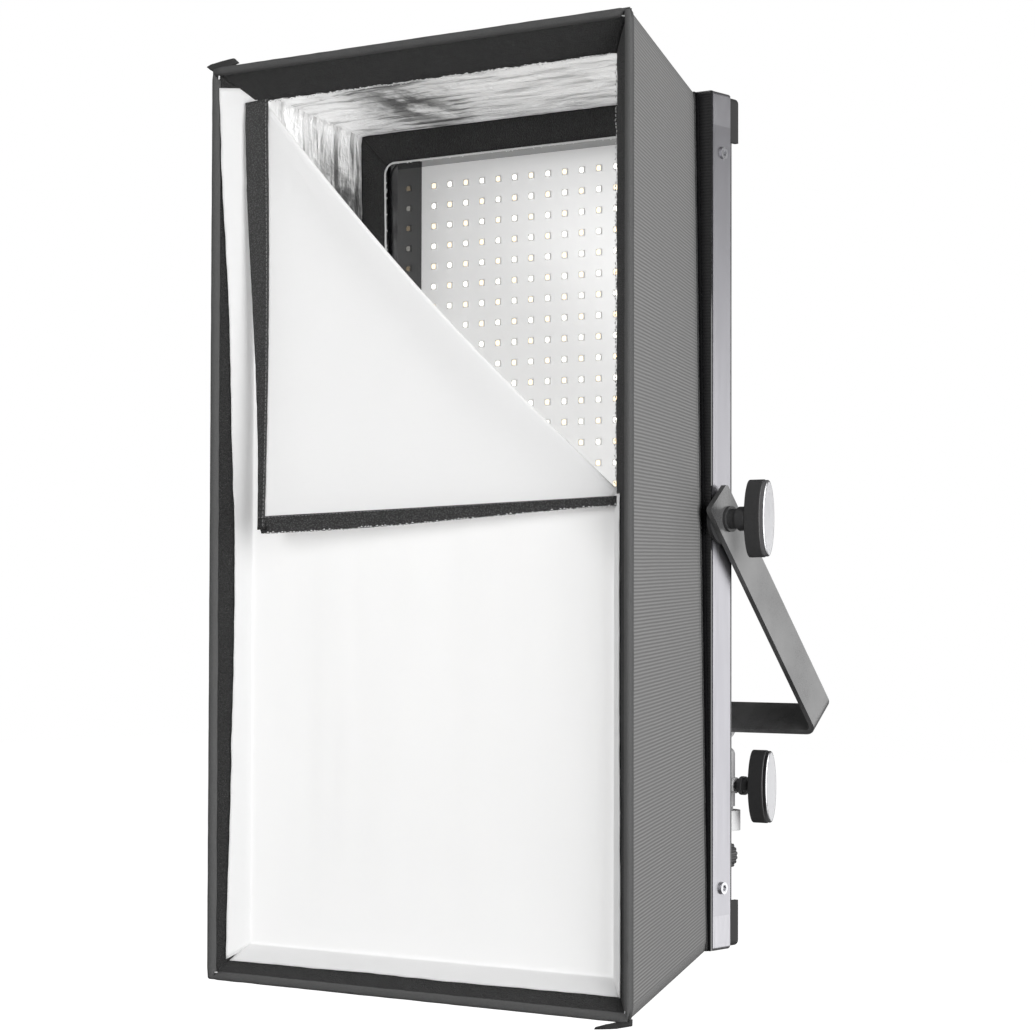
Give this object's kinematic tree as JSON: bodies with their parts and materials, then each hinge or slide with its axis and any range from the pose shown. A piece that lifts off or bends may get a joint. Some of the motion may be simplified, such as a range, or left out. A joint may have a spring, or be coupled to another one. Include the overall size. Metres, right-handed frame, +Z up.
{
  "type": "strip softbox on light panel",
  "caption": "Tall shallow fabric softbox on a flat light panel, held in a tilting yoke with a stand socket, one corner of its front diffuser folded back.",
  "frame": {"origin": "centre of the stand socket's mouth, where the stand's stud enters", "axes": "+Z up along the stand socket and along the tall side of the softbox, -Y the way the light shines, +X to the right seen from in front of the diffuser"},
  "size_m": [0.3904, 0.3038, 0.673],
  "materials": {
    "satin_aluminium": "satin anodised, brushed along its length",
    "black_bezel": "gloss black anodised",
    "black_powder_coat": "fine black powder coat",
    "black_sheet_aluminium": "fine black powder coat on sheet",
    "circuit_board_white": "white solder mask",
    "led_warm": "warm phosphor under clear resin",
    "led_cool": "cool phosphor under clear resin",
    "bare_aluminium": "mill finish sheet",
    "black_rubber": "moulded rubber",
    "steel_screw": "zinc plated",
    "dark_screw": "black oxide thread",
    "circuit_board_green": "green solder mask",
    "component_black": "moulded components",
    "knob_black": "fine moulded texture",
    "knob_cap_silver": "spun satin",
    "connector_nickel": "nickel plated",
    "cast_socket": "light grey tumbled casting",
    "ribbed_nylon": "black ribbed nylon",
    "stiffener_sheet": "polypropylene sheet",
    "silver_lining": "crinkled silver reflective cloth",
    "loop_band": "brushed loop pile",
    "hook_band": "moulded hook tape",
    "binding_tape": "woven binding tape",
    "diffusion_cloth": "white diffusion cloth"
  },
  "bodies": {
    "yoke": {"yoke": "black_powder_coat", "stand_socket": "cast_socket", "socket_bolt": "steel_screw", "bolt_washer": "steel_screw"},
    "head": {"bezel_hook_band": "hook_band", "bottom_rail": "satin_aluminium", "control_pots": "steel_screw", "corner_blocks": "satin_aluminium", "corner_bumpers": "black_rubber", "corner_tabs": "binding_tape", "dc_inlet_pins": "connector_nickel", "dc_inlet_shell": "connector_nickel", "diffuser": "diffusion_cloth", "diffuser_hook_strips": "hook_band", "driver_board": "circuit_board_green", "driver_components": "component_black", "driver_standoffs": "steel_screw", "electronics_housing": "black_sheet_aluminium", "friction_washers": "black_rubber", "front_bezel": "black_bezel", "front_lip_bottom": "loop_band", "front_lip_left": "loop_band", "front_lip_right": "loop_band", "front_lip_top": "loop_band", "heat_spreader": "bare_aluminium", "housing_screws": "steel_screw", "led_board": "circuit_board_white", "leds_cool": "led_cool", "leds_warm": "led_warm", "pivot_inserts": "steel_screw", "rail_screws": "steel_screw", "rear_loop_band": "loop_band", "rear_tray": "black_sheet_aluminium", "rim_binding": "binding_tape", "shell_panel_bottom": "ribbed_nylon", "shell_panel_left": "ribbed_nylon", "shell_panel_right": "ribbed_nylon", "shell_panel_top": "ribbed_nylon", "side_rail_left": "satin_aluminium", "side_rail_right": "satin_aluminium", "silver_lining": "silver_lining", "switch_frame": "knob_black", "top_rail": "satin_aluminium", "wall_stiffeners": "stiffener_sheet"},
    "right_tilt_knob": {"right_tilt_knob_body": "knob_black", "right_tilt_knob_cap": "knob_cap_silver", "right_tilt_knob_screw": "dark_screw"},
    "left_tilt_knob": {"left_tilt_knob_body": "knob_black", "left_tilt_knob_cap": "knob_cap_silver", "left_tilt_knob_screw": "dark_screw"},
    "stand_knob": {"stand_knob_body": "knob_black", "stand_knob_cap": "knob_cap_silver", "stand_knob_screw": "dark_screw"},
    "brightness_knob": {"brightness_knob": "knob_black", "brightness_shaft": "steel_screw"},
    "colour_knob": {"colour_knob": "knob_black", "colour_shaft": "steel_screw"},
    "power_switch": {"switch_rocker": "knob_black"},
    "diffuser_flap": {"diffuser_flap": "diffusion_cloth", "flap_hook_strips": "hook_band"}
  },
  "joints": [
    {"name": "head_tilt", "type": "hinge", "parent": "yoke", "child": "head", "pos_m": [-0.065, -0.129, 0.228], "axis": [1, 0, 0], "range_deg": [-110, 8]},
    {"name": "right_tilt_knob_turn", "type": "hinge", "parent": "head", "child": "right_tilt_knob", "pos_m": [0.0904, -0.129, 0.228], "axis": [1, 0, 0], "range_deg": [0, 270]},
    {"name": "left_tilt_knob_turn", "type": "hinge", "parent": "head", "child": "left_tilt_knob", "pos_m": [-0.2204, -0.129, 0.228], "axis": [-1, 0, 0], "range_deg": [0, 270]},
    {"name": "stand_knob_turn", "type": "hinge", "parent": "yoke", "child": "stand_knob", "pos_m": [0, 0, 0.034], "axis": [1, 0, 0], "range_deg": [0, 270]},
    {"name": "brightness_turn", "type": "hinge", "parent": "head", "child": "brightness_knob", "pos_m": [0.057, -0.089, -0.011], "axis": [0, -1, 0], "range_deg": [0, 280]},
    {"name": "colour_turn", "type": "hinge", "parent": "head", "child": "colour_knob", "pos_m": [0.017, -0.089, -0.011], "axis": [0, -1, 0], "range_deg": [0, 280]},
    {"name": "power_switch_rock", "type": "hinge", "parent": "head", "child": "power_switch", "pos_m": [-0.035, -0.091, -0.011], "axis": [1, 0, 0], "range_deg": [0, 14]},
    {"name": "flap_fold", "type": "hinge", "parent": "head", "child": "diffuser_flap", "pos_m": [-0.0587, -0.2675, 0.3889], "axis": [-0.7291, 0, 0.6844], "range_deg": [0, 179.5]}
  ]
}
